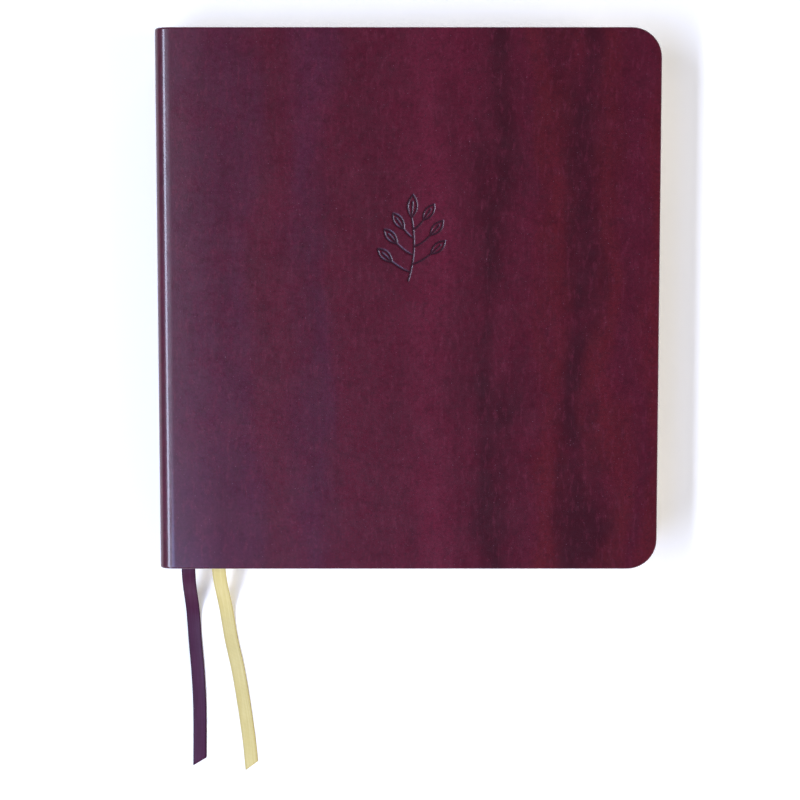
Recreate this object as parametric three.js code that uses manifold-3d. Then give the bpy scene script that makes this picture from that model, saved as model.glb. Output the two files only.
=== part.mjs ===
// A prayer book with a soft leatherette case, lying closed on its back cover.
// +X points to the fore edge, +Y to the head and +Z through the thickness, in millimetres.
import * as THREE from 'three'
import { mergeVertices } from 'three/addons/utils/BufferGeometryUtils.js'
import Module from 'manifold-3d'

const wasm = await Module()
wasm.setup()

// Driving dimensions of the closed book.
const BOOK_WIDTH = 214
const BOOK_HEIGHT = 229
const BOOK_THICKNESS = 26
const COVER_CORNER_RADIUS = 12.7
const SKIN_THICKNESS = 0.6
const BOARD_THICKNESS = 1.1
const TURN_IN_THICKNESS = 0.4
const TURN_IN_WIDTH = 14
const PASTEDOWN_THICKNESS = 0.2
const COVER_THICKNESS = 2.4
const SQUARE = 3 // how far the covers stand past the leaves
const FLY_THICKNESS = 0.2
const SIGNATURES_PER_HALF = 6
const SIGNATURE_PITCH = 1.58
const SIGNATURE_THICKNESS = 1.48
const LAYER_GAP = 0.1
const BOARD_PLAY = 0.05 // space inside the skin above and below the board
const HINGE_GAP = 0.3 // left open where a rigid piece ends at a cover hinge
const PASTE_CORNER_RADIUS = 3 // inner corners of the turned-in skin

// The spine: a slow roll off the cover, a tight shoulder, then a shallow curve to the apex.
const ROLL_RADIUS = 12
const ROLL_TURN = THREE.MathUtils.degToRad(20)
const SHOULDER_RADIUS = 4.5
const SHOULDER_TURN = THREE.MathUtils.degToRad(60)
const HINGE_ZONE = 5 // half the width of soft skin beside each cover hinge
const COVER_HINGE_X = -101

// Layers of the spine, measured in from its outer face.
const LINER_START = 0.7
const LINER_THICKNESS = 0.5
const MULL_START = 1.3
const MULL_THICKNESS = 0.2
const THREAD_START = 1.6
const THREAD_THICKNESS = 0.4
const FOLD_START = 2.1
const LINER_LENGTH = 225
const MULL_LENGTH = 199

// Each of the spine's arcs is drawn in equal steps, and each layer starts at its own step.
const ARC_STEPS = 5
const LINER_FIRST_STEP = 2
const BAND_FIRST_STEP = 8
const THREAD_FIRST_STEP = 9

// Head and tail bands, sewing stations and ribbons.
const BAND_DEPTH = 1.6
const BAND_HEIGHT = 2
const THREAD_STATIONS = [-78, -26, 26, 78]
const THREAD_LENGTH = 14
const RIBBON_WIDTH = 6
const RIBBON_THICKNESS = 0.4
const RIBBON_HEAD_Y = 110
const RIBBON_SPLIT = -114.6 // where the ribbons pass the tail edge of the covers
const RIBBON_TAIL_START = -115.6
const INSIDE_STEPS = 12
const TAIL_STEPS = 30

const midZ = BOOK_THICKNESS / 2
const spineX = -BOOK_WIDTH / 2
const foreX = BOOK_WIDTH / 2
const halfHeight = BOOK_HEIGHT / 2
const coverStartX = COVER_HINGE_X + HINGE_ZONE
const leafHalfHeight = halfHeight - SQUARE
const leafForeX = foreX - SQUARE

const book = new THREE.Group()

const finishes = {
  leatherette: { color: 0x521c30, roughness: 0.42 },
  card: { color: 0x8d8272, roughness: 0.9 },
  endpaper: { color: 0xe9dfc8, roughness: 0.9 },
  paper: { color: 0xf1ead8, roughness: 0.92 },
  mull: { color: 0xe4dccb, roughness: 0.95 },
  band: { color: 0x6e2a41, roughness: 0.8 },
  thread: { color: 0xf2ecdc, roughness: 0.85 },
  plum: { color: 0x55284f, roughness: 0.5 },
  cream: { color: 0xd9cc8a, roughness: 0.5 }
}

function addPiece(name, geometry, finish) {
  const material = new THREE.MeshStandardMaterial({ metalness: 0, ...finishes[finish] })
  const mesh = new THREE.Mesh(geometry, material)
  mesh.name = name
  book.add(mesh)
}

// Booleans, on geometries with shared vertices.
function toSolid(geometry) {
  const plain = geometry.clone()
  plain.deleteAttribute('normal')
  plain.deleteAttribute('uv')
  const merged = mergeVertices(plain, 1e-4)
  return new wasm.Manifold(new wasm.Mesh({
    numProp: 3,
    vertProperties: Float32Array.from(merged.attributes.position.array),
    triVerts: Uint32Array.from(merged.index.array)
  }))
}

function toGeometry(solid) {
  const mesh = solid.getMesh()
  const geometry = new THREE.BufferGeometry()
  geometry.setAttribute('position', new THREE.BufferAttribute(mesh.vertProperties, 3))
  geometry.setIndex(new THREE.BufferAttribute(mesh.triVerts, 1))
  geometry.computeVertexNormals()
  return geometry
}

function cut(geometry, tool) {
  return toGeometry(toSolid(geometry).subtract(toSolid(tool)))
}

function common(geometry, other) {
  return toGeometry(toSolid(geometry).intersect(toSolid(other)))
}

// A flat sheet seen from above: square at the spine, rounded at the two fore-edge corners.
function sheetOutline(startX, endX, halfLength, cornerRadius) {
  const shape = new THREE.Shape()
  shape.moveTo(startX, -halfLength)
  shape.lineTo(endX - cornerRadius, -halfLength)
  shape.absarc(endX - cornerRadius, -halfLength + cornerRadius, cornerRadius, -Math.PI / 2, 0, false)
  shape.lineTo(endX, halfLength - cornerRadius)
  shape.absarc(endX - cornerRadius, halfLength - cornerRadius, cornerRadius, 0, Math.PI / 2, false)
  shape.lineTo(startX, halfLength)
  shape.closePath()
  return shape
}

function sheet(startX, endX, halfLength, cornerRadius, lowZ, highZ) {
  const outline = sheetOutline(startX, endX, halfLength, cornerRadius)
  const depth = highZ - lowZ
  const geometry = new THREE.ExtrudeGeometry(outline, { depth, bevelEnabled: false, curveSegments: 8 })
  return geometry.translate(0, 0, lowZ)
}

// A section drawn in X and Z, drawn out along Y from lowY to highY.
function drawnOut(points, lowY, highY) {
  const shape = new THREE.Shape(points.map(([x, z]) => new THREE.Vector2(x, z)))
  const geometry = new THREE.ExtrudeGeometry(shape, { depth: highY - lowY, bevelEnabled: false })
  return geometry.rotateX(Math.PI / 2).translate(0, highY, 0)
}

// The spine's outer curve for the upper half, as three arcs that share their tangents.
const rollDrop = ROLL_RADIUS * (1 - Math.cos(ROLL_TURN))
const shoulderEnd = ROLL_TURN + SHOULDER_TURN
const shoulderDrop = SHOULDER_RADIUS * (Math.cos(ROLL_TURN) - Math.cos(shoulderEnd))
const apexRadius = (midZ - rollDrop - shoulderDrop) / Math.cos(shoulderEnd)
const rollWidth = ROLL_RADIUS * Math.sin(ROLL_TURN)
const shoulderWidth = SHOULDER_RADIUS * (Math.sin(shoulderEnd) - Math.sin(ROLL_TURN))
const apexWidth = apexRadius * (1 - Math.sin(shoulderEnd))
const rollStartX = spineX + rollWidth + shoulderWidth + apexWidth

function arcPoint(centreX, centreZ, radius, turn) {
  return [centreX - radius * Math.sin(turn), centreZ + radius * Math.cos(turn)]
}

// Points from the cover side to the apex, a given depth inside the outer face.
function spineCurve(depth) {
  const points = []
  const rollCentreZ = BOOK_THICKNESS - ROLL_RADIUS
  const ratio = ROLL_RADIUS - SHOULDER_RADIUS
  const shoulderCentreX = rollStartX - ratio * Math.sin(ROLL_TURN)
  const shoulderCentreZ = rollCentreZ + ratio * Math.cos(ROLL_TURN)
  const apexCentreX = spineX + apexRadius
  const apexGapTurn = LAYER_GAP / 2 / apexRadius
  const steps = ARC_STEPS
  for (let i = 0; i <= steps; i++) {
    points.push(arcPoint(rollStartX, rollCentreZ, ROLL_RADIUS - depth, ROLL_TURN * i / steps))
  }
  for (let i = 1; i <= steps; i++) {
    const turn = ROLL_TURN + SHOULDER_TURN * i / steps
    points.push(arcPoint(shoulderCentreX, shoulderCentreZ, SHOULDER_RADIUS - depth, turn))
  }
  for (let i = 1; i <= steps; i++) {
    const turn = shoulderEnd + (Math.PI / 2 - shoulderEnd - apexGapTurn) * i / steps
    points.push(arcPoint(apexCentreX, midZ, apexRadius - depth, turn))
  }
  return points
}

// How far out a layer at this depth reaches at height z.
function spineReach(depth, z) {
  const above = midZ + Math.abs(z - midZ)
  const curve = spineCurve(depth)
  for (let i = 1; i < curve.length; i++) {
    const [highX, highZ] = curve[i - 1]
    const [lowX, lowZ] = curve[i]
    if (above <= highZ && above >= lowZ) {
      return lowX + (highX - lowX) * (above - lowZ) / (highZ - lowZ)
    }
  }
  return spineX + depth
}

// A curved layer of the spine, with an optional flat joint strip running to the cover.
function spineLayer(depth, thickness, length, stripEndX, firstStep) {
  const outer = spineCurve(depth).slice(firstStep)
  const inner = spineCurve(depth + thickness).slice(firstStep).reverse()
  const section = [...outer, ...inner]
  if (stripEndX !== null) {
    section.push([stripEndX, BOOK_THICKNESS - depth - thickness])
    section.push([stripEndX, BOOK_THICKNESS - depth])
  }
  return drawnOut(section, -length / 2, length / 2)
}

// The mirror image in the book's middle plane, with its faces still pointing out.
function mirrored(geometry) {
  const flipped = geometry.index ? geometry.toNonIndexed() : geometry.clone()
  const position = flipped.attributes.position
  for (let i = 0; i < position.count; i++) {
    position.setZ(i, BOOK_THICKNESS - position.getZ(i))
  }
  for (let i = 0; i < position.count; i += 3) {
    const second = new THREE.Vector3().fromBufferAttribute(position, i + 1)
    const third = new THREE.Vector3().fromBufferAttribute(position, i + 2)
    position.setXYZ(i + 1, third.x, third.y, third.z)
    position.setXYZ(i + 2, second.x, second.y, second.z)
  }
  flipped.computeVertexNormals()
  return flipped
}

// Every layered piece is drawn for the upper half and mirrored for the lower half.
function addPair(upperName, lowerName, geometry, finish) {
  addPiece(upperName, geometry, finish)
  addPiece(lowerName, mirrored(geometry), finish)
}

// Cover: the skin wraps the board and turns in over its inner face.
function coverSkin() {
  const bottom = BOOK_THICKNESS - SKIN_THICKNESS - BOARD_THICKNESS - TURN_IN_THICKNESS - BOARD_PLAY
  const whole = sheet(coverStartX, foreX, halfHeight, COVER_CORNER_RADIUS, bottom, BOOK_THICKNESS)
  const boardRadius = COVER_CORNER_RADIUS - SKIN_THICKNESS
  const pocket = sheet(coverStartX - 1, foreX - SKIN_THICKNESS, halfHeight - SKIN_THICKNESS,
    boardRadius, bottom + TURN_IN_THICKNESS, BOOK_THICKNESS - SKIN_THICKNESS)
  const opening = sheet(coverStartX - 1, foreX - TURN_IN_WIDTH, halfHeight - TURN_IN_WIDTH,
    PASTE_CORNER_RADIUS, bottom - 1, bottom + TURN_IN_THICKNESS + 0.01)
  return cut(cut(whole, pocket), opening)
}

const boardTop = BOOK_THICKNESS - SKIN_THICKNESS - BOARD_PLAY / 2
const boardBottom = boardTop - BOARD_THICKNESS + BOARD_PLAY / 2
addPair('front_cover_skin', 'back_cover_skin', coverSkin(), 'leatherette')
addPair('front_board', 'back_board', sheet(coverStartX + HINGE_GAP, foreX - SKIN_THICKNESS - LAYER_GAP,
  halfHeight - SKIN_THICKNESS - LAYER_GAP, COVER_CORNER_RADIUS - SKIN_THICKNESS - LAYER_GAP,
  boardBottom, boardTop), 'card')
const pastedownLow = BOOK_THICKNESS - COVER_THICKNESS
addPair('front_pastedown', 'back_pastedown', sheet(coverStartX + HINGE_GAP, leafForeX, leafHalfHeight,
  COVER_CORNER_RADIUS - SQUARE, pastedownLow, pastedownLow + PASTEDOWN_THICKNESS), 'endpaper')

// Spine: skin with its joint strips, card liner and open-weave mull.
const stripEndX = coverStartX - HINGE_GAP
addPair('spine_skin_upper', 'spine_skin_lower',
  spineLayer(0, SKIN_THICKNESS, BOOK_HEIGHT, stripEndX, 0), 'leatherette')
addPair('spine_liner_upper', 'spine_liner_lower',
  spineLayer(LINER_START, LINER_THICKNESS, LINER_LENGTH, null, LINER_FIRST_STEP), 'card')
addPair('mull_upper', 'mull_lower',
  spineLayer(MULL_START, MULL_THICKNESS, MULL_LENGTH, null, LINER_FIRST_STEP), 'mull')

// Leaves: folded sections, a flyleaf on the outside and one leaf beside the middle opening.
function leafBlock(lowZ, highZ, foldDepth) {
  const foldX = Math.max(spineReach(foldDepth, lowZ), spineReach(foldDepth, highZ))
  const foldRound = (highZ - lowZ) / 2
  const centreZ = (lowZ + highZ) / 2
  const section = []
  for (let i = 0; i <= 6; i++) {
    const turn = Math.PI * i / 6
    section.push([foldX + foldRound * (1 - Math.sin(turn)), centreZ + foldRound * Math.cos(turn)])
  }
  section.push([leafForeX + 1, lowZ])
  section.push([leafForeX + 1, highZ])
  const block = drawnOut(section, -leafHalfHeight - 1, leafHalfHeight + 1)
  const outline = sheet(spineX, leafForeX, leafHalfHeight, COVER_CORNER_RADIUS - SQUARE,
    lowZ - 1, highZ + 1)
  return common(block, outline)
}

const flyHigh = pastedownLow - LAYER_GAP
const flyLow = flyHigh - FLY_THICKNESS
addPair('front_flyleaf', 'back_flyleaf', sheet(coverStartX - 1, leafForeX, leafHalfHeight,
  COVER_CORNER_RADIUS - SQUARE, flyLow, flyHigh), 'endpaper')
for (let i = 0; i < SIGNATURES_PER_HALF; i++) {
  const highZ = flyLow - LAYER_GAP - i * SIGNATURE_PITCH
  const upper = `signature_${String(i + 1).padStart(2, '0')}`
  const lower = `signature_${String(2 * SIGNATURES_PER_HALF - i).padStart(2, '0')}`
  addPair(upper, lower, leafBlock(highZ - SIGNATURE_THICKNESS, highZ, FOLD_START), 'paper')
}
const centreLeafHigh = flyLow - LAYER_GAP - SIGNATURES_PER_HALF * SIGNATURE_PITCH
const centreLeafLow = centreLeafHigh - FLY_THICKNESS
addPair('centre_leaf_upper', 'centre_leaf_lower',
  leafBlock(centreLeafLow, centreLeafHigh, FOLD_START), 'paper')

// Head and tail bands stand just past the ends of the leaves, against the spine liner.
function band(startY, endY) {
  const outer = spineCurve(MULL_START).slice(BAND_FIRST_STEP)
  const inner = spineCurve(MULL_START + BAND_DEPTH).slice(BAND_FIRST_STEP).reverse()
  return drawnOut([...outer, ...inner], startY, endY)
}
const bandStart = leafHalfHeight + LAYER_GAP
addPair('head_band_upper', 'head_band_lower', band(bandStart, bandStart + BAND_HEIGHT), 'band')
addPair('tail_band_upper', 'tail_band_lower', band(-bandStart - BAND_HEIGHT, -bandStart), 'band')

// Sewing threads cross the folds at each station.
THREAD_STATIONS.forEach((station, i) => {
  const outer = spineCurve(THREAD_START).slice(THREAD_FIRST_STEP)
  const inner = spineCurve(THREAD_START + THREAD_THICKNESS).slice(THREAD_FIRST_STEP).reverse()
  const stitch = drawnOut([...outer, ...inner], station - THREAD_LENGTH / 2, station + THREAD_LENGTH / 2)
  addPair(`sewing_thread_${i + 1}_upper`, `sewing_thread_${i + 1}_lower`, stitch, 'thread')
})

// Ribbons lie in the middle opening, leave at the tail and drape down to the table.
const drape = [
  [110, 13], [40, 13], [-40, 13], [-105, 13], [-113, 13], [-118, 12.4], [-122, 10.8], [-126, 8.3],
  [-130, 5.4], [-134, 2.9], [-138, 1.2], [-143, 0.35], [-150, 0.22], [-180, 0.22], [-212, 0.22]
]
const ribbons = {
  plum: { tipY: -209, lean: [[110, -99], [0, -97.6], [-114.5, -95.8], [-132, -95.9], [-149, -95.2],
    [-165, -94.0], [-182, -93.3], [-209, -93.5]] },
  cream: { tipY: -211, lean: [[110, -90], [0, -86.8], [-114.5, -82.6], [-132, -81.4], [-149, -79.2],
    [-165, -75.9], [-182, -73.2], [-198, -71.1], [-211, -69.9]] }
}

// A smooth value at y along a list of [y, value] points that runs from high y to low y.
function along(list, y) {
  const curve = new THREE.SplineCurve(list.map(([a, b]) => new THREE.Vector2(a, b)))
  let low = 0
  let high = 1
  for (let i = 0; i < 30; i++) {
    const middle = (low + high) / 2
    if (curve.getPoint(middle).x > y) low = middle
    else high = middle
  }
  return curve.getPoint(low).y
}

function ribbon({ lean }, fromY, toY, steps) {
  const top = []
  const bottom = []
  for (let i = 0; i <= steps; i++) {
    const y = fromY + (toY - fromY) * i / steps
    const slope = (along(drape, y - 0.2) - along(drape, y + 0.2)) / 0.4
    const reach = RIBBON_THICKNESS / 2 / Math.hypot(1, slope)
    const z = Math.max(along(drape, y), RIBBON_THICKNESS / 2 + 0.01)
    top.push([y + slope * reach, z + reach])
    bottom.push([y - slope * reach, z - reach])
  }
  const outline = [...top, ...bottom.reverse()].map(([y, z]) => new THREE.Vector2(y, z))
  const geometry = new THREE.ExtrudeGeometry(new THREE.Shape(outline), {
    depth: RIBBON_WIDTH, bevelEnabled: false
  })
  // The section's own axes are Y and Z; the depth becomes X, and each point leans with the ribbon.
  const position = geometry.attributes.position
  for (let i = 0; i < position.count; i++) {
    const y = position.getX(i)
    const z = position.getY(i)
    const across = position.getZ(i) - RIBBON_WIDTH / 2
    position.setXYZ(i, across + along(lean, y), y, z)
  }
  geometry.computeVertexNormals()
  return geometry
}

for (const [colour, route] of Object.entries(ribbons)) {
  addPiece(`${colour}_ribbon_in_book`, ribbon(route, RIBBON_HEAD_Y, RIBBON_SPLIT, INSIDE_STEPS), colour)
  addPiece(`${colour}_ribbon_tail`, ribbon(route, RIBBON_TAIL_START, route.tipY, TAIL_STEPS), colour)
}

export default book
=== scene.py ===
import math
import random

import bmesh
import bpy
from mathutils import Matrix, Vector, kdtree


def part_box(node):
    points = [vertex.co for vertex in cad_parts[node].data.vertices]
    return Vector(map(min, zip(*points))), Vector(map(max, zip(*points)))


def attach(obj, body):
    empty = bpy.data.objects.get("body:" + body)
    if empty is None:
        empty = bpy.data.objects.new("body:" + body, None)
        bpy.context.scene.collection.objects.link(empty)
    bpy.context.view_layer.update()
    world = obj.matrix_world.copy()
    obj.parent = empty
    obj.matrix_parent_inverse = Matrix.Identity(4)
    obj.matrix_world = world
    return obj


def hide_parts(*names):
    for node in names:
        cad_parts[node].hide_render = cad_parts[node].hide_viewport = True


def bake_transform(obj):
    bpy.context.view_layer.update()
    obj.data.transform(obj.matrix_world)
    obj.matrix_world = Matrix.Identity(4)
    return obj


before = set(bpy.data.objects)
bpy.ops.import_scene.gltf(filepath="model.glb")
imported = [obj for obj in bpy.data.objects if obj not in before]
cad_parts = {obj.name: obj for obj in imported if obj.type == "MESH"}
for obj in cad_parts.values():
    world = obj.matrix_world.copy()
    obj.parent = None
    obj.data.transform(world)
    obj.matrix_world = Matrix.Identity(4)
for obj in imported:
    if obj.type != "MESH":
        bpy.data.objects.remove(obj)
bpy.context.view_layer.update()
random.seed(7)

# Lengths below are in millimetres, as in the part's source, and become metres in each mesh.
MM = 0.001


def node_box(name):
    """A CAD node's lowest and highest corners in millimetres."""
    low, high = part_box(name)
    return Vector(low) / MM, Vector(high) / MM


cover_low, cover_high = node_box("front_cover_skin")
spine_low, spine_high = node_box("spine_skin_upper")
leaf_low, leaf_high = node_box("signature_06")
FORE_X = cover_high.x
HALF_HEIGHT = cover_high.y
TOP_Z = cover_high.z
COVER_START_X = cover_low.x
SPINE_X = spine_low.x
MID_Z = TOP_Z / 2
LEAF_FORE_X = leaf_high.x
LEAF_HALF_HEIGHT = leaf_high.y
CORNER_RADIUS = 12.7
LEAF_CORNER_RADIUS = CORNER_RADIUS - (FORE_X - LEAF_FORE_X)
COVER_DEPTH = 2.1
SPINE_DEPTH = 1.15
# Each half of a piece that the middle opening parts, with the body that carries it.
HALVES = (("upper", "upper_block"), ("lower", "lower_block"))

# The spine's three arcs, as the frame has them.
ROLL_RADIUS = 12
ROLL_TURN = math.radians(20)
SHOULDER_RADIUS = 4.5
SHOULDER_TURN = math.radians(60)
SHOULDER_END = ROLL_TURN + SHOULDER_TURN


# ---------------------------------------------------------------- camera, lights and floor

PIXELS_PER_MM = 2.352
IMAGE_PIXELS = 800
CAMERA_DISTANCE = 571
CAMERA_TILT = math.radians(3.5)
AIM_Y = -41.9
SHIFT_X = -0.0086
SENSOR = 36
ROOM_STRENGTH = 0.04
FLOOR_RADIUS = 1500


def make_camera():
    data = bpy.data.cameras.new("camera")
    camera = bpy.data.objects.new("camera", data)
    bpy.context.collection.objects.link(camera)
    back = Vector((0, math.sin(CAMERA_TILT), math.cos(CAMERA_TILT)))
    camera.location = (Vector((0, AIM_Y, TOP_Z)) + back * CAMERA_DISTANCE) * MM
    camera.rotation_euler = (-CAMERA_TILT, 0, 0)
    data.sensor_width = SENSOR
    data.lens = SENSOR * CAMERA_DISTANCE * PIXELS_PER_MM / IMAGE_PIXELS
    data.shift_x = SHIFT_X
    data.clip_start = 0.01
    bpy.context.scene.camera = camera


def area_light(name, place, aim, size, power, colour, reflected=True):
    """An area light. One that isn't reflected lights the book but leaves no shine on it."""
    data = bpy.data.lights.new(name, "AREA")
    data.shape = "RECTANGLE"
    data.size, data.size_y = size
    data.energy = power
    data.color = colour
    light = bpy.data.objects.new(name, data)
    bpy.context.collection.objects.link(light)
    light.location = place
    light.visible_glossy = reflected
    direction = Vector(aim) - Vector(place)
    light.rotation_euler = direction.to_track_quat("-Z", "Y").to_euler()


def make_lights():
    area_light("window", (-1.02, -0.35, 1.3), (-0.1, -0.35, 0), (1.8, 0.2), 31, (0.68, 0.76, 1.0))
    area_light("sky", (-0.5, -0.5, 1.25), (-0.1, -0.1, 0), (0.4, 0.4), 3.4, (0.3, 0.45, 1.0))
    area_light("lamp_right", (1.5, -0.3, 0.8), (0, 0, 0), (0.9, 1.2), 12.5, (1.0, 0.95, 0.92), False)
    area_light("lamp_far", (0.2, 1.8, 0.7), (0, 0, 0), (1.4, 0.8), 9.5, (1.0, 0.97, 0.95), False)
    area_light("lamp_near", (0.2, -1.9, 0.8), (0, -0.1, 0), (1.4, 0.8), 7.5, (1.0, 0.97, 0.95), False)
    make_room()


def make_room():
    """A white surround at and below the horizon, and a dim ceiling."""
    world = bpy.data.worlds.new("room")
    world.use_nodes = True
    tree = world.node_tree
    source = tree.nodes.new("ShaderNodeTexCoord")
    split = tree.nodes.new("ShaderNodeSeparateXYZ")
    rise = tree.nodes.new("ShaderNodeMapRange")
    tree.links.new(source.outputs["Generated"], split.inputs["Vector"])
    tree.links.new(split.outputs["Z"], rise.inputs["Value"])
    limits = {"From Min": 0.02, "From Max": 0.3, "To Min": 1.0, "To Max": ROOM_STRENGTH}
    for name, number in limits.items():
        rise.inputs[name].default_value = number
    background = tree.nodes["Background"]
    background.inputs["Color"].default_value = (0.97, 0.98, 1.0, 1)
    tree.links.new(rise.outputs["Result"], background.inputs["Strength"])
    bpy.context.scene.world = world
    bpy.context.scene.view_settings.view_transform = "Standard"


# ---------------------------------------------------------------- material helpers

class Finish:
    """A Principled material whose nodes are added by short calls."""

    def __init__(self, name, colour, roughness):
        self.material = bpy.data.materials.new(name)
        self.material.use_nodes = True
        self.tree = self.material.node_tree
        self.shader = self.tree.nodes["Principled BSDF"]
        self.shader.inputs["Base Color"].default_value = (*colour, 1)
        self.shader.inputs["Roughness"].default_value = roughness

    def node(self, kind, **values):
        made = self.tree.nodes.new(kind)
        for name, value in values.items():
            setattr(made, name, value)
        return made

    def link(self, source, target):
        self.tree.links.new(source, target)

    def coordinates(self, scale, kind="UV"):
        source = self.node("ShaderNodeTexCoord")
        mapping = self.node("ShaderNodeMapping")
        mapping.inputs["Scale"].default_value = scale
        self.link(source.outputs[kind], mapping.inputs["Vector"])
        return mapping.outputs["Vector"]

    def noise(self, vector, scale, detail=4, roughness=0.55):
        made = self.node("ShaderNodeTexNoise")
        made.inputs["Scale"].default_value = scale
        made.inputs["Detail"].default_value = detail
        made.inputs["Roughness"].default_value = roughness
        self.link(vector, made.inputs["Vector"])
        return made.outputs["Fac"]

    def cells(self, vector, scale):
        made = self.node("ShaderNodeTexVoronoi", feature="DISTANCE_TO_EDGE")
        made.inputs["Scale"].default_value = scale
        self.link(vector, made.inputs["Vector"])
        return made.outputs["Distance"]

    def wave(self, vector, scale, direction="X", distortion=0):
        made = self.node("ShaderNodeTexWave", bands_direction=direction)
        made.inputs["Scale"].default_value = scale
        made.inputs["Distortion"].default_value = distortion
        self.link(vector, made.inputs["Vector"])
        return made.outputs["Fac"]

    def math(self, operation, first, second):
        made = self.node("ShaderNodeMath", operation=operation)
        for socket, value in zip(made.inputs, (first, second)):
            if isinstance(value, (int, float)):
                socket.default_value = value
            else:
                self.link(value, socket)
        return made.outputs["Value"]

    def spread(self, value, low, high, new_low=0.0, new_high=1.0):
        made = self.node("ShaderNodeMapRange")
        self.link(value, made.inputs["Value"])
        limits = {"From Min": low, "From Max": high, "To Min": new_low, "To Max": new_high}
        for name, number in limits.items():
            made.inputs[name].default_value = number
        return made.outputs["Result"]

    def ramp(self, value, stops, interpolation="LINEAR"):
        made = self.node("ShaderNodeValToRGB")
        made.color_ramp.interpolation = interpolation
        elements = made.color_ramp.elements
        elements[0].position, elements[0].color = stops[0][0], (*stops[0][1], 1)
        elements[1].position, elements[1].color = stops[-1][0], (*stops[-1][1], 1)
        for place, colour in stops[1:-1]:
            element = elements.new(place)
            element.color = (*colour, 1)
        self.link(value, made.inputs["Fac"])
        return made.outputs["Color"]

    def mix(self, amount, first, second):
        made = self.node("ShaderNodeMix", data_type="RGBA")
        sockets = (made.inputs[0], made.inputs[6], made.inputs[7])
        for socket, value in zip(sockets, (amount, first, second)):
            if isinstance(value, tuple):
                socket.default_value = (*value, 1)
            elif isinstance(value, (int, float)):
                socket.default_value = value
            else:
                self.link(value, socket)
        return made.outputs[2]

    def colour(self, source):
        self.link(source, self.shader.inputs["Base Color"])

    def roughness(self, source):
        self.link(source, self.shader.inputs["Roughness"])

    def bump(self, height, strength, distance):
        made = self.node("ShaderNodeBump")
        made.inputs["Strength"].default_value = strength
        made.inputs["Distance"].default_value = distance
        self.link(height, made.inputs["Height"])
        before = self.shader.inputs["Normal"]
        if before.is_linked:
            self.link(before.links[0].from_socket, made.inputs["Normal"])
        self.link(made.outputs["Normal"], before)


# ---------------------------------------------------------------- materials

# Broad dye streaks that run from head to tail, as (place across the cover in mm, colour). The plum stops
# across the left third are painted sheen: a bluish cast that the window's light lays on the wine cover.
SHEEN_PLUM = (0.094, 0.013, 0.035)
WINE = (0.104, 0.009, 0.023)
ROSE = (0.140, 0.012, 0.031)
DARK = (0.050, 0.006, 0.013)
RED = (0.118, 0.010, 0.018)
BLUSH = (0.170, 0.023, 0.048)
# The first stop lies past the front cover's edge, on the spine's curve. The darkening towards it there is
# painted shade on the side of the spine that turns away from the light.
STREAKS = [
    (-125, DARK), (-100, SHEEN_PLUM), (-72, SHEEN_PLUM), (-55, WINE), (-40, SHEEN_PLUM), (-28, WINE), (-6, WINE), (11, ROSE),
    (24, WINE), (38, DARK), (50, WINE), (58, RED), (75, DARK), (88, RED), (97, WINE), (107, RED),
]
STREAK_WANDER = 9
PALE_SPECK = (0.26, 0.12, 0.17)
DARK_PIT = (0.016, 0.004, 0.010)
PRESSED_TONE = (0.013, 0.003, 0.008)
# A soft cover dips towards the spine between these two lines, seen as a pale haze beside the joint.
DIP_START_X = -104
DIP_END_X = -78
DIP_DEPTH = 1.2
LACQUER = 0.55
LACQUER_IN_GROOVES = 0.1


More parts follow.
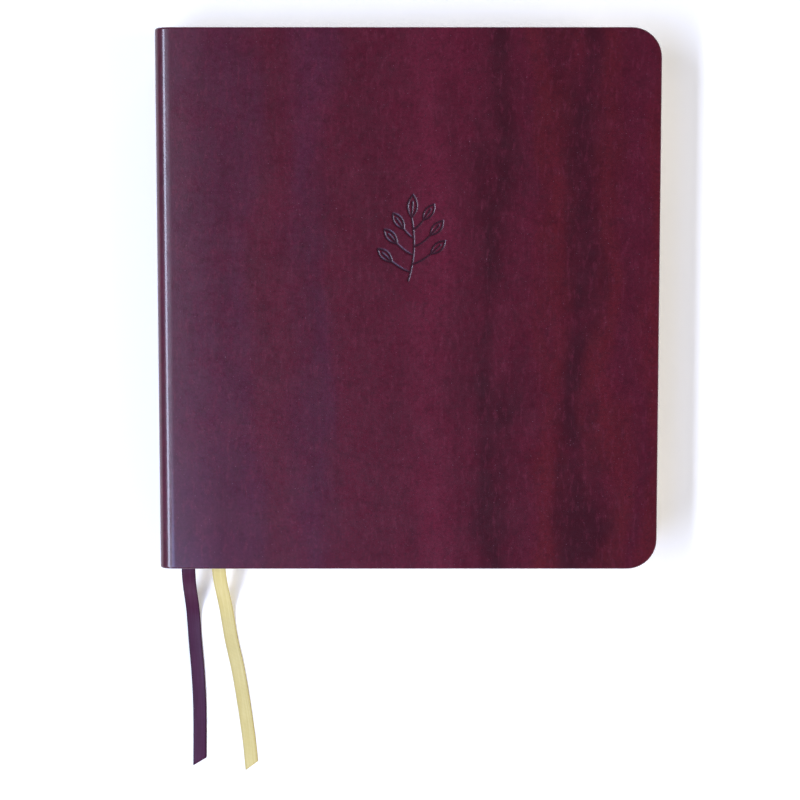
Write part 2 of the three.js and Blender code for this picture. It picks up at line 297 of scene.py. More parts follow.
def leatherette():
    finish = Finish("burgundy_leatherette", WINE, 0.42)
    surface = finish.coordinates((1, 1, 1))
    along = finish.coordinates((1, 0.16, 1))
    wander = finish.noise(finish.coordinates((1, 0.35, 1)), 38, 4)
    split = finish.node("ShaderNodeSeparateXYZ")
    finish.link(surface, split.inputs["Vector"])
    drift = finish.spread(wander, 0.3, 0.7, -STREAK_WANDER * MM, STREAK_WANDER * MM)
    shifted = finish.math("ADD", split.outputs["X"], drift)
    low, high = STREAKS[0][0], STREAKS[-1][0]
    place = finish.spread(shifted, low * MM, high * MM)
    stops = [((x - low) / (high - low), colour) for x, colour in STREAKS]
    base = finish.ramp(place, stops, "EASE")
    streaks = finish.noise(along, 60, 5, 0.6)
    base = finish.mix(finish.spread(streaks, 0.42, 0.72, 0, 0.45), base, DARK)
    clouds = finish.noise(surface, 45, 6, 0.62)
    base = finish.mix(finish.spread(clouds, 0.48, 0.72, 0, 0.45), base, ROSE)
    blots = finish.noise(surface, 190, 5, 0.65)
    base = finish.mix(finish.spread(blots, 0.5, 0.72, 0, 0.55), base, DARK)
    wisps = finish.noise(finish.coordinates((1, 0.3, 1)), 520, 4, 0.65)
    base = finish.mix(finish.spread(wisps, 0.52, 0.72, 0, 0.5), base, BLUSH)
    fine = finish.noise(surface, 800, 4, 0.7)
    base = finish.mix(finish.spread(fine, 0.42, 0.68, 0, 0.5), base, DARK)
    specks = finish.noise(surface, 1500, 2, 0.5)
    base = finish.mix(finish.spread(specks, 0.69, 0.76, 0, 0.6), base, PALE_SPECK)
    pits = finish.noise(surface, 1100, 2, 0.4)
    base = finish.mix(finish.spread(pits, 0.70, 0.76, 0, 0.7), base, DARK_PIT)
    pressed = finish.node("ShaderNodeAttribute", attribute_name="pressed")
    base = finish.mix(finish.math("MULTIPLY", pressed.outputs["Fac"], 0.9), base, PRESSED_TONE)
    finish.colour(base)
    sheen = finish.math("ADD", finish.noise(surface, 70, 5, 0.6), finish.noise(surface, 420, 4, 0.6))
    gloss = finish.spread(sheen, 0.75, 1.25, 0.3, 0.44)
    finish.roughness(finish.math("ADD", gloss, finish.math("MULTIPLY", pressed.outputs["Fac"], 0.12)))
    dip = finish.spread(split.outputs["X"], DIP_START_X * MM, DIP_END_X * MM, 1, 0)
    finish.bump(finish.math("MULTIPLY", dip, finish.math("MULTIPLY", dip, -1)), 1, DIP_DEPTH * MM)
    finish.bump(finish.cells(surface, 1000), 0.3, 0.00006)
    finish.bump(finish.noise(surface, 1500, 3, 0.6), 0.35, 0.00006)
    finish.bump(finish.noise(along, 160, 4, 0.5), 0.14, 0.0002)
    finish.shader.inputs["Specular IOR Level"].default_value = 0.32
    lacquer = finish.spread(pressed.outputs["Fac"], 0, 0.5, LACQUER, LACQUER_IN_GROOVES)
    finish.link(lacquer, finish.shader.inputs["Coat Weight"])
    finish.shader.inputs["Coat Roughness"].default_value = 0.13
    return finish.material


def paper(name, colour, tone):
    finish = Finish(name, colour, 0.88)
    surface = finish.coordinates((1, 1, 1), "Object")
    fibres = finish.noise(surface, 900, 5, 0.7)
    clouds = finish.noise(surface, 30, 3)
    base = finish.mix(finish.spread(fibres, 0.35, 0.7, 0, 0.3), colour, tone)
    finish.colour(finish.mix(finish.spread(clouds, 0.4, 0.7, 0, 0.25), base, tone))
    finish.roughness(finish.spread(fibres, 0.3, 0.7, 0.82, 0.95))
    finish.bump(fibres, 0.25, 0.00004)
    return finish.material


def card():
    finish = Finish("grey_board", (0.30, 0.27, 0.22), 0.9)
    surface = finish.coordinates((1, 1, 1), "Object")
    fibres = finish.noise(surface, 1500, 6, 0.75)
    tones = [(0.3, (0.16, 0.14, 0.11)), (0.55, (0.31, 0.28, 0.23)), (0.75, (0.46, 0.42, 0.35))]
    finish.colour(finish.ramp(fibres, tones))
    finish.roughness(finish.spread(fibres, 0.3, 0.7, 0.85, 0.97))
    finish.bump(fibres, 0.4, 0.0001)
    return finish.material


def weave(name, colour, shade, scale, strength):
    """Crossed threads, dark in the gaps between them."""
    finish = Finish(name, colour, 0.9)
    surface = finish.coordinates((1, 1, 1), "Object")
    warp = finish.wave(surface, scale, "Z")
    weft = finish.wave(surface, scale, "Y")
    threads = finish.math("MULTIPLY", warp, weft)
    finish.colour(finish.mix(threads, shade, colour))
    finish.roughness(finish.spread(threads, 0, 1, 0.97, 0.82))
    finish.bump(threads, strength, 0.0001)
    return finish.material


def striped_band():
    finish = Finish("band_stripes", (0.3, 0.05, 0.1), 0.75)
    surface = finish.coordinates((1, 1, 1), "Object")
    stripes = finish.wave(surface, 180, "Z")
    base = finish.ramp(stripes, [(0.47, (0.17, 0.03, 0.06)), (0.53, (0.72, 0.64, 0.48))])
    strands = finish.noise(surface, 5000, 2)
    finish.colour(finish.mix(finish.spread(strands, 0.4, 0.7, 0, 0.35), base, (0.08, 0.03, 0.03)))
    finish.roughness(finish.spread(strands, 0.3, 0.7, 0.65, 0.85))
    finish.bump(finish.wave(surface, 900, "Z"), 0.5, 0.0001)
    return finish.material


def thread():
    finish = Finish("linen_thread", (0.78, 0.74, 0.64), 0.7)
    surface = finish.coordinates((1, 1, 1), "Object")
    twist = finish.wave(surface, 1100, "DIAGONAL")
    finish.colour(finish.mix(twist, (0.5, 0.46, 0.36), (0.83, 0.79, 0.69)))
    finish.roughness(finish.spread(twist, 0, 1, 0.8, 0.62))
    finish.bump(twist, 0.6, 0.00008)
    return finish.material


def satin(name, colour, shade, glow):
    """Ribbon cloth: fine cross ribs, long yarn streaks lightened as painted sheen, painted shade of soft
    folds, a tighter edge on each side.
    """
    finish = Finish(name, colour, 0.42)
    surface = finish.coordinates((1, 1, 1))
    ribs = finish.wave(surface, 520, "Y", 0.4)
    streaks = finish.noise(finish.coordinates((1, 0.04, 1)), 1600, 3)
    fold_shade = finish.noise(surface, 60, 3)
    base = finish.mix(finish.spread(ribs, 0, 1, 0, 0.35), colour, shade)
    # Painted sheen: the long streaks lightened towards the glow colour.
    base = finish.mix(finish.spread(streaks, 0.4, 0.7, 0, 0.4), base, glow)
    # Painted shade of soft folds, laid on the flat ribbon.
    base = finish.mix(finish.spread(fold_shade, 0.45, 0.75, 0, 0.3), base, shade)
    edge = finish.node("ShaderNodeAttribute", attribute_name="selvedge")
    base = finish.mix(finish.math("MULTIPLY", edge.outputs["Fac"], 0.5), base, shade)
    finish.colour(base)
    finish.roughness(finish.spread(ribs, 0, 1, 0.38, 0.55))
    finish.bump(ribs, 0.35, 0.00006)
    finish.bump(streaks, 0.15, 0.00004)
    finish.shader.inputs["Specular IOR Level"].default_value = 0.25
    finish.shader.inputs["Anisotropic"].default_value = 0.4
    return finish.material


def floor_material():
    finish = Finish("pale_floor", (0.95, 0.93, 0.90), 0.85)
    finish.shader.inputs["Emission Color"].default_value = (1, 1, 1, 1)
    finish.shader.inputs["Emission Strength"].default_value = 0.24
    return finish.material


# ---------------------------------------------------------------- mesh helpers

def finish_object(name, mesh, material):
    for polygon in mesh.polygons:
        polygon.use_smooth = True
    mesh.materials.append(material)
    piece = bpy.data.objects.new(name, mesh)
    bpy.context.collection.objects.link(piece)
    return piece


def mesh_from(name, points, faces):
    mesh = bpy.data.meshes.new(name)
    mesh.from_pydata([tuple(c * MM for c in p) for p in points], [], faces)
    mesh.validate()
    tidy = bmesh.new()
    tidy.from_mesh(mesh)
    bmesh.ops.recalc_face_normals(tidy, faces=tidy.faces)
    tidy.to_mesh(mesh)
    tidy.free()
    return mesh


def set_uv(mesh, places):
    """places holds one (u, v) in millimetres for each vertex."""
    layer = mesh.uv_layers.new(name="rest")
    for loop in mesh.loops:
        u, v = places[loop.vertex_index]
        layer.data[loop.index].uv = (u * MM, v * MM)


def set_attribute(mesh, name, values):
    attribute = mesh.attributes.new(name, "FLOAT", "POINT")
    attribute.data.foreach_set("value", values)


def corner_x(x, y, fore_x, half_height, radius, pinned_x):
    """x drawn in where the fore-edge corner is round. Columns left of pinned_x stay."""
    into = abs(y) - (half_height - radius)
    if into <= 0 or x <= pinned_x:
        return x
    limit = fore_x - radius + math.sqrt(max(radius * radius - into * into, 0))
    return pinned_x + (x - pinned_x) * (limit - pinned_x) / (fore_x - pinned_x)


def corner_rows(half_height, radius, between, steps=10):
    """Rows from tail to head, close together where the corners turn."""
    bend = [half_height - radius * (1 - math.sin(math.pi / 2 * i / steps)) for i in range(steps + 1)]
    rows = sorted([-y for y in bend] + bend + list(between))
    kept = [rows[0]]
    for y in rows[1:]:
        if y - kept[-1] > 0.005:
            kept.append(y)
    return kept


def even(low, high, count):
    return [low + (high - low) * i / count for i in range(count + 1)]


def loop_sheet(loop, rows, fit):
    """The points and side faces of a closed loop in X and Z that is carried along the rows."""
    count = len(loop)
    points = [(fit(x, y), y, z) for y in rows for x, z in loop]
    faces = []
    for r in range(len(rows) - 1):
        for i in range(count):
            j = (i + 1) % count
            a, b = r * count, (r + 1) * count
            faces.append((a + i, a + j, b + j, b + i))
    return points, faces


def strip_ends(count_rows, half):
    """End faces for a loop that runs out along half points and back along as many."""
    faces = []
    size = 2 * half
    for base in (0, (count_rows - 1) * size):
        for i in range(half - 1):
            faces.append((base + i, base + i + 1, base + size - 2 - i, base + size - 1 - i))
    return faces


def offset_path(path, thickness):
    """The path's points moved half the thickness to each side, as a loop out and back."""
    left, right = [], []
    for i, (x, z) in enumerate(path):
        x0, z0 = path[max(i - 1, 0)]
        x1, z1 = path[min(i + 1, len(path) - 1)]
        length = math.hypot(x1 - x0, z1 - z0)
        nx, nz = -(z1 - z0) / length, (x1 - x0) / length
        left.append((x + nx * thickness / 2, z + nz * thickness / 2))
        right.append((x - nx * thickness / 2, z - nz * thickness / 2))
    return left + right[::-1]


def merge(parts):
    points, faces = [], []
    for some_points, some_faces in parts:
        base = len(points)
        points += some_points
        faces += [tuple(base + i for i in face) for face in some_faces]
    return points, faces


def tube(path, radius, sides):
    """A round tube with closed ends along a list of points."""
    points, faces = [], []
    for i, p in enumerate(path):
        tangent = (Vector(path[min(i + 1, len(path) - 1)]) - Vector(path[max(i - 1, 0)])).normalized()
        across = Vector((0, 1, 0.001)) if abs(tangent.y) < 0.9 else Vector((0, 0, 1))
        side = tangent.cross(across).normalized()
        up = side.cross(tangent)
        for k in range(sides):
            turn = 2 * math.pi * k / sides
            points.append(tuple(Vector(p) + (side * math.cos(turn) + up * math.sin(turn)) * radius))
    for i in range(len(path) - 1):
        for k in range(sides):
            n = (k + 1) % sides
            faces.append((i * sides + k, i * sides + n, (i + 1) * sides + n, (i + 1) * sides + k))
    faces.append(tuple(range(sides)))
    faces.append(tuple(range(len(points) - sides, len(points))))
    return points, faces


def mirror_z(points):
    return [(x, y, TOP_Z - z) for x, y, z in points]


# ---------------------------------------------------------------- the spine's curve

ROLL_DROP = ROLL_RADIUS * (1 - math.cos(ROLL_TURN))
SHOULDER_DROP = SHOULDER_RADIUS * (math.cos(ROLL_TURN) - math.cos(SHOULDER_END))
APEX_RADIUS = (MID_Z - ROLL_DROP - SHOULDER_DROP) / math.cos(SHOULDER_END)
ROLL_START_X = (SPINE_X + ROLL_RADIUS * math.sin(ROLL_TURN)
                + SHOULDER_RADIUS * (math.sin(SHOULDER_END) - math.sin(ROLL_TURN))
                + APEX_RADIUS * (1 - math.sin(SHOULDER_END)))


SPINE_STEPS = 10


def spine_points(depth):
    """(x, z, outward normal x, z, length from the flat) along the upper half of the spine."""
    centre_z = TOP_Z - ROLL_RADIUS
    ratio = ROLL_RADIUS - SHOULDER_RADIUS
    arcs = [
        (ROLL_START_X, centre_z, ROLL_RADIUS, 0, ROLL_TURN),
        (ROLL_START_X - ratio * math.sin(ROLL_TURN), centre_z + ratio * math.cos(ROLL_TURN),
         SHOULDER_RADIUS, ROLL_TURN, SHOULDER_END),
        (SPINE_X + APEX_RADIUS, MID_Z, APEX_RADIUS, SHOULDER_END, math.pi / 2),
    ]
    found, length = [], 0
    for number, (x, z, radius, start, end) in enumerate(arcs):
        for i in range(0 if number == 0 else 1, SPINE_STEPS + 1):
            turn = start + (end - start) * i / SPINE_STEPS
            nx, nz = -math.sin(turn), math.cos(turn)
            reach = radius - depth
            found.append((x + nx * reach, z + nz * reach, nx, nz, length + radius * (turn - start)))
        length += radius * (end - start)
    return found


def spine_columns():
    """The skin's outer line along the upper half of the spine: x, z, normal and place across the dye."""
    return [(x, z, nx, nz, ROLL_START_X - length) for x, z, nx, nz, length in spine_points(0)]


def spine_line(depth, y, top):
    """Points at one height along the spine, below the top of the node that they stand for."""
    return [(x, y, z) for x, z, _, _, _ in spine_points(depth) if z <= top]


# ---------------------------------------------------------------- the pressed sprig

SPRIG_X = 1.9
SPRIG_Y = 26.7
SPRIG_HALF_WIDTH = 16.5
SPRIG_HALF_HEIGHT = 18
SPRIG_MARGIN = 2
GROOVE_HALF_WIDTH = 0.8
GROOVE_DEPTH = 0.24
STROKE_STEPS = 60


def curve_points(start, bend, end, count=STROKE_STEPS):
    """A quadratic curve in the sprig's own plane."""
    found = []
    for i in range(count + 1):
        t = i / count
        a, b, c = (1 - t) ** 2, 2 * t * (1 - t), t * t
        found.append((a * start[0] + b * bend[0] + c * end[0], a * start[1] + b * bend[1] + c * end[1]))
    return found


def leaf_strokes(base, turn, length, width):
    """A pointed leaf outline with a vein, growing from base at an angle from straight up."""
    reach = (math.sin(turn), math.cos(turn))
    side = (reach[1], -reach[0])

    def at(along, across):
        return (base[0] + reach[0] * along + side[0] * across, base[1] + reach[1] * along + side[1] * across)

    return [
        curve_points(at(0, 0), at(length * 0.5, width), at(length, 0)),
        curve_points(at(0, 0), at(length * 0.5, -width), at(length, 0)),
        curve_points(at(length * 0.12, 0), at(length * 0.4, 0.1), at(length * 0.68, 0), 20),
    ]


def sprig_strokes():
    """A plain upright stem with three pairs of side leaves and one at the tip."""
    stem = curve_points((-1.5, -18), (2.5, -6), (0, 8.5))
    strokes = [stem] + leaf_strokes(stem[-1], 0.06, 9.5, 3.9)
    # Each pair of twigs: place up the stem, angle from straight up, length.
    twigs = ((0.22, 1.08, 9.0), (0.5, 0.98, 8.4), (0.78, 0.86, 5.6))
    for share, turn, reach in twigs:
        for side in (-1, 1):
            x, y = stem[int(share * STROKE_STEPS) + 4 * side]
            tip = (x + side * reach * math.sin(turn), y + reach * math.cos(turn))
            strokes.append(curve_points((x, y), (x + side * reach * 0.3, y + reach * 0.02), tip, 30))
            strokes += leaf_strokes(tip, side * (turn - 0.25), 8.0, 3.4)
    return strokes


def groove_tree():
    found = [p for stroke in sprig_strokes() for p in stroke]
    tree = kdtree.KDTree(len(found))
    for i, (x, y) in enumerate(found):
        tree.insert((x + SPRIG_X, y + SPRIG_Y, 0), i)
    tree.balance()
    return tree


def pressed_amount(tree, x, y):
    too_wide = abs(x - SPRIG_X) > SPRIG_HALF_WIDTH + SPRIG_MARGIN
    too_high = abs(y - SPRIG_Y) > SPRIG_HALF_HEIGHT + SPRIG_MARGIN
    if too_wide or too_high:
        return 0.0
    distance = tree.find((x, y, 0))[2]
    near = max(0.0, 1 - distance / GROOVE_HALF_WIDTH)
    return near * near * (3 - 2 * near)


# ---------------------------------------------------------------- the case

EDGE_ROUND = 0.9
EDGE_STEPS = 6
UNDER_STEPS = 5
TURN_IN_WIDTH = 14
TURN_IN_CORNER_RADIUS = 2
TURN_IN_STEPS = 3
SPINE_SPLIT_Z = 19.0
SPINE_LAP = 0.9
# The stretch beside the joint that keeps its columns straight while the fore edge curves in.
JOINT_STRETCH = 8
# The back cover takes its dye from another stretch of the same streaks.
BACK_DYE_SCALE = 0.93
BACK_DYE_SHIFT = 20
BACK_DYE_TURN = 110


def case_columns(fine):
    """The skin's outer line from the spine to the fore edge: x, z, normal and place across the dye."""
    columns = [column for column in spine_columns() if column[1] >= SPINE_SPLIT_Z]
    columns.reverse()
    last = FORE_X - EDGE_ROUND
    flat = even(ROLL_START_X + 0.5, COVER_START_X + 3, 12)
    if fine:
        left, right = SPRIG_X - SPRIG_HALF_WIDTH - 1, SPRIG_X + SPRIG_HALF_WIDTH + 1
        flat += even(COVER_START_X + 6, left - 2, 16) + even(left, right, 150) + even(right + 2, last, 18)
    else:
        flat += even(COVER_START_X + 6, last, 40)
    return columns + [(x, TOP_Z, 0, 1, x) for x in flat]


def depth_at(x):
    """How far the inner face lies below the outer one: deeper where the board is."""
    share = min(max((x - ROLL_START_X) / (COVER_START_X - ROLL_START_X), 0), 1)
    return SPINE_DEPTH + (COVER_DEPTH - SPINE_DEPTH) * share * share * (3 - 2 * share)


def edge_profile(depth):
    """(outward, down) steps that take the skin round its edge and under."""
    steps = [(EDGE_ROUND * math.sin(t), EDGE_ROUND * (1 - math.cos(t)))
             for t in (math.pi / 2 * i / EDGE_STEPS for i in range(1, EDGE_STEPS + 1))]
    lower = min(EDGE_ROUND, depth / 2)
    steps += [(EDGE_ROUND - lower + lower * math.cos(t), depth - lower + lower * math.sin(t))
              for t in (math.pi / 2 * i / UNDER_STEPS for i in range(1, UNDER_STEPS + 1))]
    return steps


def case_sheet(name, columns, rows, tree, has_fore_edge):
    """Outer face, rounded edge and turn-in of one stretch of skin, as one open sheet."""
    inner_half = HALF_HEIGHT - EDGE_ROUND
    inner_fore = FORE_X - EDGE_ROUND
    radius = CORNER_RADIUS - EDGE_ROUND
    outline = (inner_fore, inner_half, radius)
    pinned = COVER_START_X + JOINT_STRETCH
    points, uvs, pressed, faces = [], [], [], []
    width = len(columns)
    for y in rows:
        for x, z, nx, nz, u in columns:
            place_x = corner_x(x, y, inner_fore, inner_half, radius, pinned) if has_fore_edge else x
            amount = pressed_amount(tree, place_x, y) if tree else 0.0
            points.append((place_x, y, z - amount * GROOVE_DEPTH))
            uvs.append((place_x if nx == 0 else u, y))
            pressed.append(amount)
    for r in range(len(rows) - 1):
        for c in range(width - 1):
            a = r * width + c
            faces.append((a, a + 1, a + width + 1, a + width))
    for run in rim_runs(width, len(rows), has_fore_edge):
        add_edge(run, points, uvs, pressed, faces, columns, outline)
    mesh = mesh_from(name, points, faces)
    set_uv(mesh, uvs)
    set_attribute(mesh, "pressed", pressed)
    return mesh


def rim_runs(width, row_count, has_fore_edge):
    """The rim's vertices in order: along the tail, up any fore edge, back along the head."""
    last_row = (row_count - 1) * width
    tail = list(range(width))
    head = [last_row + c for c in range(width - 1, -1, -1)]
    if not has_fore_edge:
        return [tail, head]
    fore_edge = [r * width + width - 1 for r in range(1, row_count)]
    return [tail + fore_edge + head[1:]]


def rim_direction(x, y, outline):
    """Outward direction in plan at a point on the rim."""
    inner_fore, inner_half, radius = outline
    corner = Vector((inner_fore - radius, math.copysign(inner_half - radius, y)))
    out = Vector((x, y)) - corner
    if x > corner.x and abs(y) > abs(corner.y):
        return out.normalized()
    if abs(y) >= inner_half - 1e-6:
        return Vector((0, math.copysign(1, y)))
    return Vector((1, 0))


def add_edge(run, points, uvs, pressed, faces, columns, outline):
    """Carries the sheet's rim round its edge and on to the inner end of the turn-in."""
    width = len(columns)
    previous = run
    edge_count = EDGE_STEPS + UNDER_STEPS
    base = [(points[i], columns[i % width], uvs[i]) for i in run]
    for step in range(edge_count + TURN_IN_STEPS):
        ring = []
        for (x, y, z), (_, _, nx, nz, _), (u, v) in base:
            depth = depth_at(x)
            direction = rim_direction(x, y, outline)
            if step < edge_count:
                out, down = edge_profile(depth)[step]
                px, py = x + direction.x * out, y + direction.y * out
            else:
                share = (step - edge_count + 1) / TURN_IN_STEPS
                out, down = -TURN_IN_WIDTH * share, depth
                px, py = turned_in(x, y, direction, share, outline)
            ring.append(len(points))
            points.append((px - nx * down, py, z - nz * down))
            uvs.append((u + direction.x * out, v + direction.y * (out - down)))
            pressed.append(0.0)
        for i in range(len(run) - 1):
            faces.append((previous[i], previous[i + 1], ring[i + 1], ring[i]))
        previous = ring


def turned_in(x, y, direction, share, outline):
    """The turn-in's inner line is a smaller outline with tight corners."""
    inner_fore, inner_half, radius = outline
    end_x = inner_fore - TURN_IN_WIDTH - TURN_IN_CORNER_RADIUS
    end_y = inner_half - TURN_IN_WIDTH - TURN_IN_CORNER_RADIUS
    straight_x, straight_y = inner_fore - radius, inner_half - radius
    start_x = COVER_START_X
    goal_x = x
    if x > start_x:
        goal_x = start_x + (min(x, straight_x) - start_x) * (end_x - start_x) / (straight_x - start_x)
    goal_y = max(-end_y, min(end_y, y * end_y / straight_y))
    goal_x += direction.x * TURN_IN_CORNER_RADIUS
    goal_y += direction.y * TURN_IN_CORNER_RADIUS
    return x + (goal_x - x) * share, y + (goal_y - y) * share


def case_rows(fine):
    low, high = -HALF_HEIGHT + CORNER_RADIUS + 1, HALF_HEIGHT - CORNER_RADIUS - 1
    if fine:
        bottom, top = SPRIG_Y - SPRIG_HALF_HEIGHT - 1, SPRIG_Y + SPRIG_HALF_HEIGHT + 1
        between = even(low, bottom - 2, 20) + even(bottom, top, 160) + even(top + 2, high, 12)
    else:
        between = even(low, high, 40)
    return corner_rows(HALF_HEIGHT - EDGE_ROUND, CORNER_RADIUS - EDGE_ROUND, between)


def flip_to_back(mesh):
    """Turns a front sheet into the back one, in the book's middle plane."""
    for vertex in mesh.vertices:
        vertex.co.z = TOP_Z * MM - vertex.co.z
    mesh.flip_normals()
    for loop in mesh.uv_layers["rest"].data:
        loop.uv.x = loop.uv.x * BACK_DYE_SCALE - BACK_DYE_SHIFT * MM
        loop.uv.y = BACK_DYE_TURN * MM - loop.uv.y


def make_case(skin):
    front_mesh = case_sheet("front_leatherette", case_columns(True), case_rows(True), groove_tree(), True)
    front = finish_object("front_leatherette", front_mesh, skin)
    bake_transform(front)
    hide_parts("front_cover_skin")
    back_mesh = case_sheet("back_leatherette", case_columns(False), case_rows(False), None, True)
    flip_to_back(back_mesh)
    back = finish_object("back_leatherette", back_mesh, skin)
    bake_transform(back)
    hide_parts("back_cover_skin")

    upper = [column for column in spine_columns() if column[1] <= SPINE_SPLIT_Z + SPINE_LAP]
    lower = [(x, TOP_Z - z, nx, -nz, 2 * upper[-1][4] - u) for x, z, nx, nz, u in upper[-2::-1]]
    columns = upper + lower
    columns.reverse()
    spine_mesh = case_sheet("spine_leatherette", columns, case_rows(False), None, False)
    spine = finish_object("spine_leatherette", spine_mesh, skin)
    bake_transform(spine)
    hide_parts("spine_skin_upper", "spine_skin_lower")


# ---------------------------------------------------------------- leaves and endpapers

LEAF_THICKNESS = 0.085
SHEETS_PER_SECTION = 6
SECTIONS = 12
UNEVEN_EDGE = (-0.22, 0.02)
# Measured in from the fore edge: the stretch that a round corner draws in, and a point on the flat.
CORNER_STRETCH = 60
FLAT_STRETCH = 30
FOLD_STRETCH = 12
ENDPAPER_THICKNESS = 0.12
ENDPAPER_FOLD_SETBACK = 2.6
CENTRE_LEAF_THICKNESS = 0.09
CENTRE_FOLD_RADIUS = 0.12
CENTRE_FOLD_GAP = 0.9


def leaf_fit(x, y):
    return corner_x(x, y, LEAF_FORE_X, LEAF_HALF_HEIGHT, LEAF_CORNER_RADIUS, LEAF_FORE_X - CORNER_STRETCH)


def leaf_rows():
    return corner_rows(LEAF_HALF_HEIGHT, LEAF_CORNER_RADIUS, [-60, 0, 60], 8)


def folded_path(fold_x, low_z, high_z, legs):
    """A folded sheet seen from the tail: fore edge, round fold, fore edge. Its two legs end unevenly."""
    radius = (high_z - low_z) / 2
    centre = (low_z + high_z) / 2
    flat_x = LEAF_FORE_X - FLAT_STRETCH
    fold_end_x = fold_x + radius + FOLD_STRETCH
    path = [(LEAF_FORE_X + legs[0], high_z), (flat_x, high_z), (fold_end_x, high_z)]
    for i in range(9):
        turn = math.pi * i / 8
        path.append((fold_x + radius * (1 - math.sin(turn)), centre + radius * math.cos(turn)))
    path += [(fold_end_x, low_z), (flat_x, low_z), (LEAF_FORE_X + legs[1], low_z)]
    return path


def folded_leaf(path, thickness):
    """The points and faces of a leaf with closed ends, carried from tail to head along its path."""
    rows = leaf_rows()
    points, faces = loop_sheet(offset_path(path, thickness), rows, leaf_fit)
    return points, faces + strip_ends(len(rows), len(path))


def make_section(node, body, stock):
    low, high = node_box(node)
    pitch = (high.z - low.z) / (2 * SHEETS_PER_SECTION)
    parts = []
    for i in range(SHEETS_PER_SECTION):
        inset = (i + 0.5) * pitch
        legs = (random.uniform(*UNEVEN_EDGE), random.uniform(*UNEVEN_EDGE))
        path = folded_path(low.x + inset, low.z + inset, high.z - inset, legs)
        parts.append(folded_leaf(path, LEAF_THICKNESS))
    piece = finish_object(f"{node}_leaves", mesh_from(node, *merge(parts)), stock)
    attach(piece, body)
    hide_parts(node)


def folded_sheet(name, path, thickness, material):
    return finish_object(name, mesh_from(name, *folded_leaf(path, thickness)), material)


def endpaper_path(pastedown_z, fly_z):
    """Pastedown, a small fold beside the joint, then the flyleaf."""
    fold_x = COVER_START_X - ENDPAPER_FOLD_SETBACK
    turns = (LEAF_FORE_X, LEAF_FORE_X - FLAT_STRETCH, COVER_START_X + 2)
    path = [(x, pastedown_z) for x in turns]
    radius = (pastedown_z - fly_z) / 2
    for i in range(17):
        turn = math.pi * i / 16
        path.append((fold_x - abs(radius) * math.sin(turn), pastedown_z - radius * (1 - math.cos(turn))))
    return path + [(x, fly_z) for x in reversed(turns)]


def make_sections(stock):
    for number in range(1, SECTIONS + 1):
        body = "upper_block" if number <= SECTIONS / 2 else "lower_block"
        make_section(f"signature_{number:02d}", body, stock)


def make_endpapers(endpaper):
    """Each one bends over its cover's joint, between the pastedown and the flyleaf."""
    for side, body, cover in (("front", "upper_block", "front_cover"), ("back", "lower_block", "back_cover")):
        down_low, down_high = node_box(f"{side}_pastedown")
        fly_low, fly_high = node_box(f"{side}_flyleaf")
        down_z, fly_z = (down_low.z + down_high.z) / 2, (fly_low.z + fly_high.z) / 2
        path = endpaper_path(down_z, fly_z)
        piece = folded_sheet(f"{side}_endpaper", path, ENDPAPER_THICKNESS, endpaper)
        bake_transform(piece)
        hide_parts(f"{side}_pastedown", f"{side}_flyleaf")


def make_centre_leaves(stock):
    """The leaf on each side of the middle opening. Their fold runs between the spine lining's halves."""
    upper_low, upper_high = node_box("centre_leaf_upper")
    high_z = (upper_low.z + upper_high.z) / 2
    gap = high_z - MID_Z
    upper = [(LEAF_FORE_X, high_z), (LEAF_FORE_X - FLAT_STRETCH, high_z), (upper_low.x + 4, high_z),
             (upper_low.x, high_z - gap * 0.4)]
    lower = [(x, TOP_Z - z) for x, z in reversed(upper)]
    tip = CENTRE_FOLD_RADIUS
    fold_x = SPINE_X + CENTRE_FOLD_GAP
    fold = [(fold_x + tip * (1 - math.sin(turn)), MID_Z + tip * math.cos(turn))
            for turn in even(0, math.pi, 12)]
    piece = folded_sheet("centre_leaves", upper + fold + lower, CENTRE_LEAF_THICKNESS, stock)
    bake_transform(piece)
    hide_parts("centre_leaf_upper", "centre_leaf_lower")


# ---------------------------------------------------------------- bands and sewing

BAND_DEPTH = 2.3
BAND_RADIUS = 0.85
THREAD_DEPTH = 1.8
THREAD_RADIUS = 0.19
# Where a station's four turns of thread lie, as shares of its width.
THREAD_TURNS = (0.15, 0.38, 0.62, 0.85)


def node_top(low, high):
    """The node's top, or the top of its mirror image when it lies in the lower half."""
    return max(high.z, TOP_Z - low.z)


def make_bands(material):
    for end in ("head", "tail"):
        for side, body in HALVES:
            node = f"{end}_band_{side}"
            low, high = node_box(node)
            y = (low.y + high.y) / 2
            points, faces = tube(spine_line(BAND_DEPTH, y, node_top(low, high)), BAND_RADIUS, 14)
            if side == "lower":
                points = mirror_z(points)
            piece = finish_object(f"{node}_woven", mesh_from(node, points, faces), material)
            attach(piece, body)
            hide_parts(node)


def make_sewing(material):
    for station in range(1, 5):
        for side, body in HALVES:
            node = f"sewing_thread_{station}_{side}"
            low, high = node_box(node)
            places = [low.y + (high.y - low.y) * share for share in THREAD_TURNS]
            lines = [spine_line(THREAD_DEPTH, y, node_top(low, high)) for y in places]
            points, faces = merge([tube(line, THREAD_RADIUS, 8) for line in lines])
            if side == "lower":
                points = mirror_z(points)
            piece = finish_object(f"{node}_stitches", mesh_from(node, points, faces), material)
            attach(piece, body)
            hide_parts(node)


# ---------------------------------------------------------------- ribbons

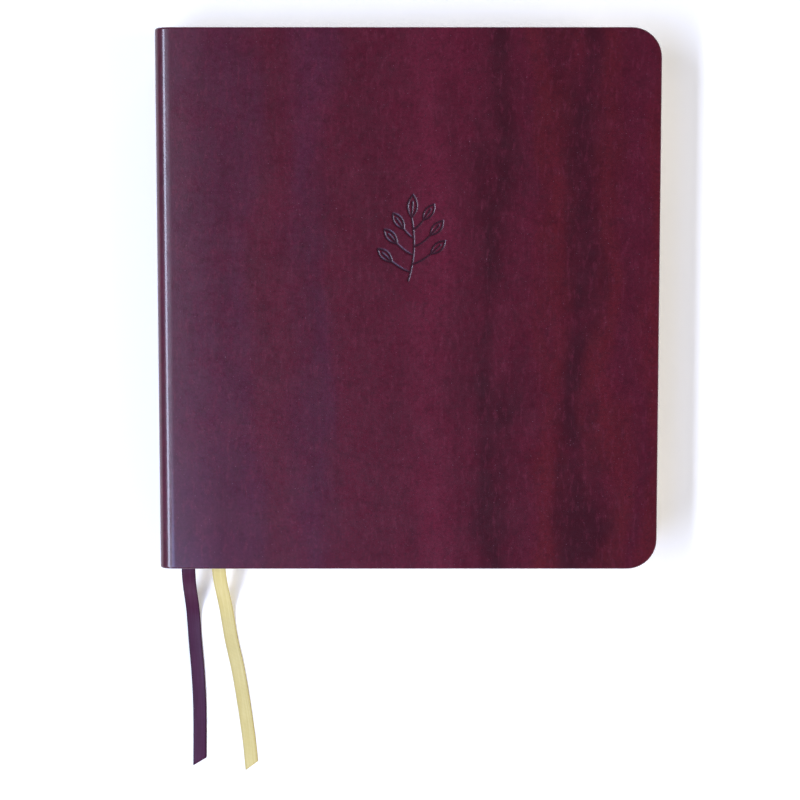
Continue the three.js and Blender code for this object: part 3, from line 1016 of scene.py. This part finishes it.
# The route's height, and each ribbon's place across, repeated from the part's source.
DRAPE = [
    (110, 13), (40, 13), (-40, 13), (-105, 13), (-113, 13), (-118, 12.4), (-122, 10.8), (-126, 8.3),
    (-130, 5.4), (-134, 2.9), (-138, 1.2), (-143, 0.35), (-150, 0.22), (-180, 0.22), (-212, 0.22),
]
LEAN = {
    "plum": [(110, -99), (0, -97.6), (-114.5, -95.8), (-132, -95.9), (-149, -95.2), (-165, -94.0),
             (-182, -93.3), (-209, -93.5)],
    "cream": [(110, -90), (0, -86.8), (-114.5, -82.6), (-132, -81.4), (-149, -79.2), (-165, -75.9),
              (-182, -73.2), (-198, -71.1), (-211, -69.9)],
}
RIBBON_WIDTH = 6
RIBBON_THICKNESS = 0.3
RIBBON_HEAD_Y = 110
RIBBON_EXIT_Y = -110
RIBBON_CLEARANCE = 0.03
TIP_SLANT = 4
# The tail's cloth cups this high across its width, and its slanted cut takes up this share of its length.
CUP_HEIGHT = 0.22
TIP_SHARE = 0.15
# The tighter edge on each side, as a share of half the width.
SELVEDGE_SHARE = 0.2


def along(route, y):
    """A smooth value at y on a route that runs from high y to low y."""
    for i in range(len(route) - 1):
        (y1, v1), (y2, v2) = route[i], route[i + 1]
        if y >= y2 or i == len(route) - 2:
            break
    y0, v0 = route[max(i - 1, 0)]
    y3, v3 = route[min(i + 2, len(route) - 1)]
    slope1 = (v2 - v0) / (y2 - y0)
    slope2 = (v3 - v1) / (y3 - y1)
    span = y2 - y1
    t = min(max((y - y1) / span, 0), 1)
    return ((2 * t**3 - 3 * t**2 + 1) * v1 + (t**3 - 2 * t**2 + t) * span * slope1
            + (-2 * t**3 + 3 * t**2) * v2 + (t**3 - t**2) * span * slope2)


def make_ribbon(colour, material):
    lean = LEAN[colour]
    tip_y = lean[-1][0]
    inside = even(RIBBON_HEAD_Y, RIBBON_EXIT_Y + 2, 40)
    outside = even(RIBBON_EXIT_Y, tip_y + TIP_SLANT / 2, 90)
    rows = inside + outside
    across = even(-1, 1, 12)
    lowest = RIBBON_THICKNESS / 2 + RIBBON_CLEARANCE
    path = [Vector((along(lean, y), y, max(along(DRAPE, y), lowest))) for y in rows]
    points, uvs, edges, faces = [], [], [], []
    for r, centre in enumerate(path):
        ahead = path[min(r + 1, len(path) - 1)] - path[max(r - 1, 0)]
        forward = ahead.normalized()
        side = Vector((-forward.y, forward.x, 0)).normalized()
        normal = side.cross(forward).normalized()
        normal = normal if normal.z > 0 else -normal
        share = max(0, (r - len(inside)) / len(outside))
        cup = CUP_HEIGHT * math.sin(math.pi * min(share * 1.15, 1))
        for face_side in (1, -1):
            for s in across if face_side > 0 else across[::-1]:
                slant = -s * TIP_SLANT / 2 * (max(0, share - (1 - TIP_SHARE)) / TIP_SHARE)
                place = centre + side * (s * RIBBON_WIDTH / 2) + forward * slant
                edge = abs(s) ** 6
                thick = RIBBON_THICKNESS / 2 * (1 - 0.35 * edge)
                place = place + normal * (face_side * thick + cup * s * s)
                points.append(tuple(place))
                uvs.append((s * RIBBON_WIDTH / 2, centre.y - slant))
                edges.append(1.0 if abs(s) > 1 - SELVEDGE_SHARE else 0.0)
    size = 2 * len(across)
    for r in range(len(rows) - 1):
        for i in range(size):
            n = (i + 1) % size
            faces.append((r * size + i, r * size + n, (r + 1) * size + n, (r + 1) * size + i))
    faces += strip_ends(len(rows), len(across))
    name = f"{colour}_ribbon"
    mesh = mesh_from(name, points, faces)
    set_uv(mesh, uvs)
    set_attribute(mesh, "selvedge", edges)
    ribbon = finish_object(name, mesh, material)
    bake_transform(ribbon)
    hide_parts(f"{colour}_ribbon_in_book", f"{colour}_ribbon_tail")


# ---------------------------------------------------------------- boards, linings and floor

def finish_nodes(names, material):
    """Gives CAD nodes that no piece replaces their own material."""
    for name in names:
        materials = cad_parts[name].data.materials
        materials.clear()
        materials.append(material)


def make_floor():
    turns = even(0, 2 * math.pi, 96)[:-1]
    rim = [(FLOOR_RADIUS * math.cos(t), FLOOR_RADIUS * math.sin(t), 0) for t in turns]
    mesh = mesh_from("floor", rim, [tuple(range(len(rim)))])
    mesh.materials.append(floor_material())
    floor = bpy.data.objects.new("floor", mesh)
    bpy.context.collection.objects.link(floor)


# ---------------------------------------------------------------- building it all

make_camera()
make_ribbon("plum", satin("plum_satin", (0.074, 0.014, 0.042), (0.030, 0.005, 0.018), (0.12, 0.030, 0.085)))
make_ribbon("cream", satin("cream_satin", (0.80, 0.66, 0.26), (0.58, 0.45, 0.15), (0.93, 0.81, 0.42)))
make_lights()

make_case(leatherette())
book_paper = paper("book_paper", (0.86, 0.80, 0.67), (0.74, 0.66, 0.51))
endpaper_stock = paper("endpaper_stock", (0.80, 0.70, 0.54), (0.68, 0.57, 0.41))
make_sections(book_paper)
make_endpapers(endpaper_stock)
make_centre_leaves(book_paper)
make_bands(striped_band())
make_sewing(thread())

grey_board = card()
cotton = weave("mull_cotton", (0.80, 0.77, 0.68), (0.32, 0.29, 0.22), 700, 0.7)
finish_nodes(("front_board", "back_board", "spine_liner_upper", "spine_liner_lower"), grey_board)
finish_nodes(("mull_upper", "mull_lower"), cotton)
make_floor()
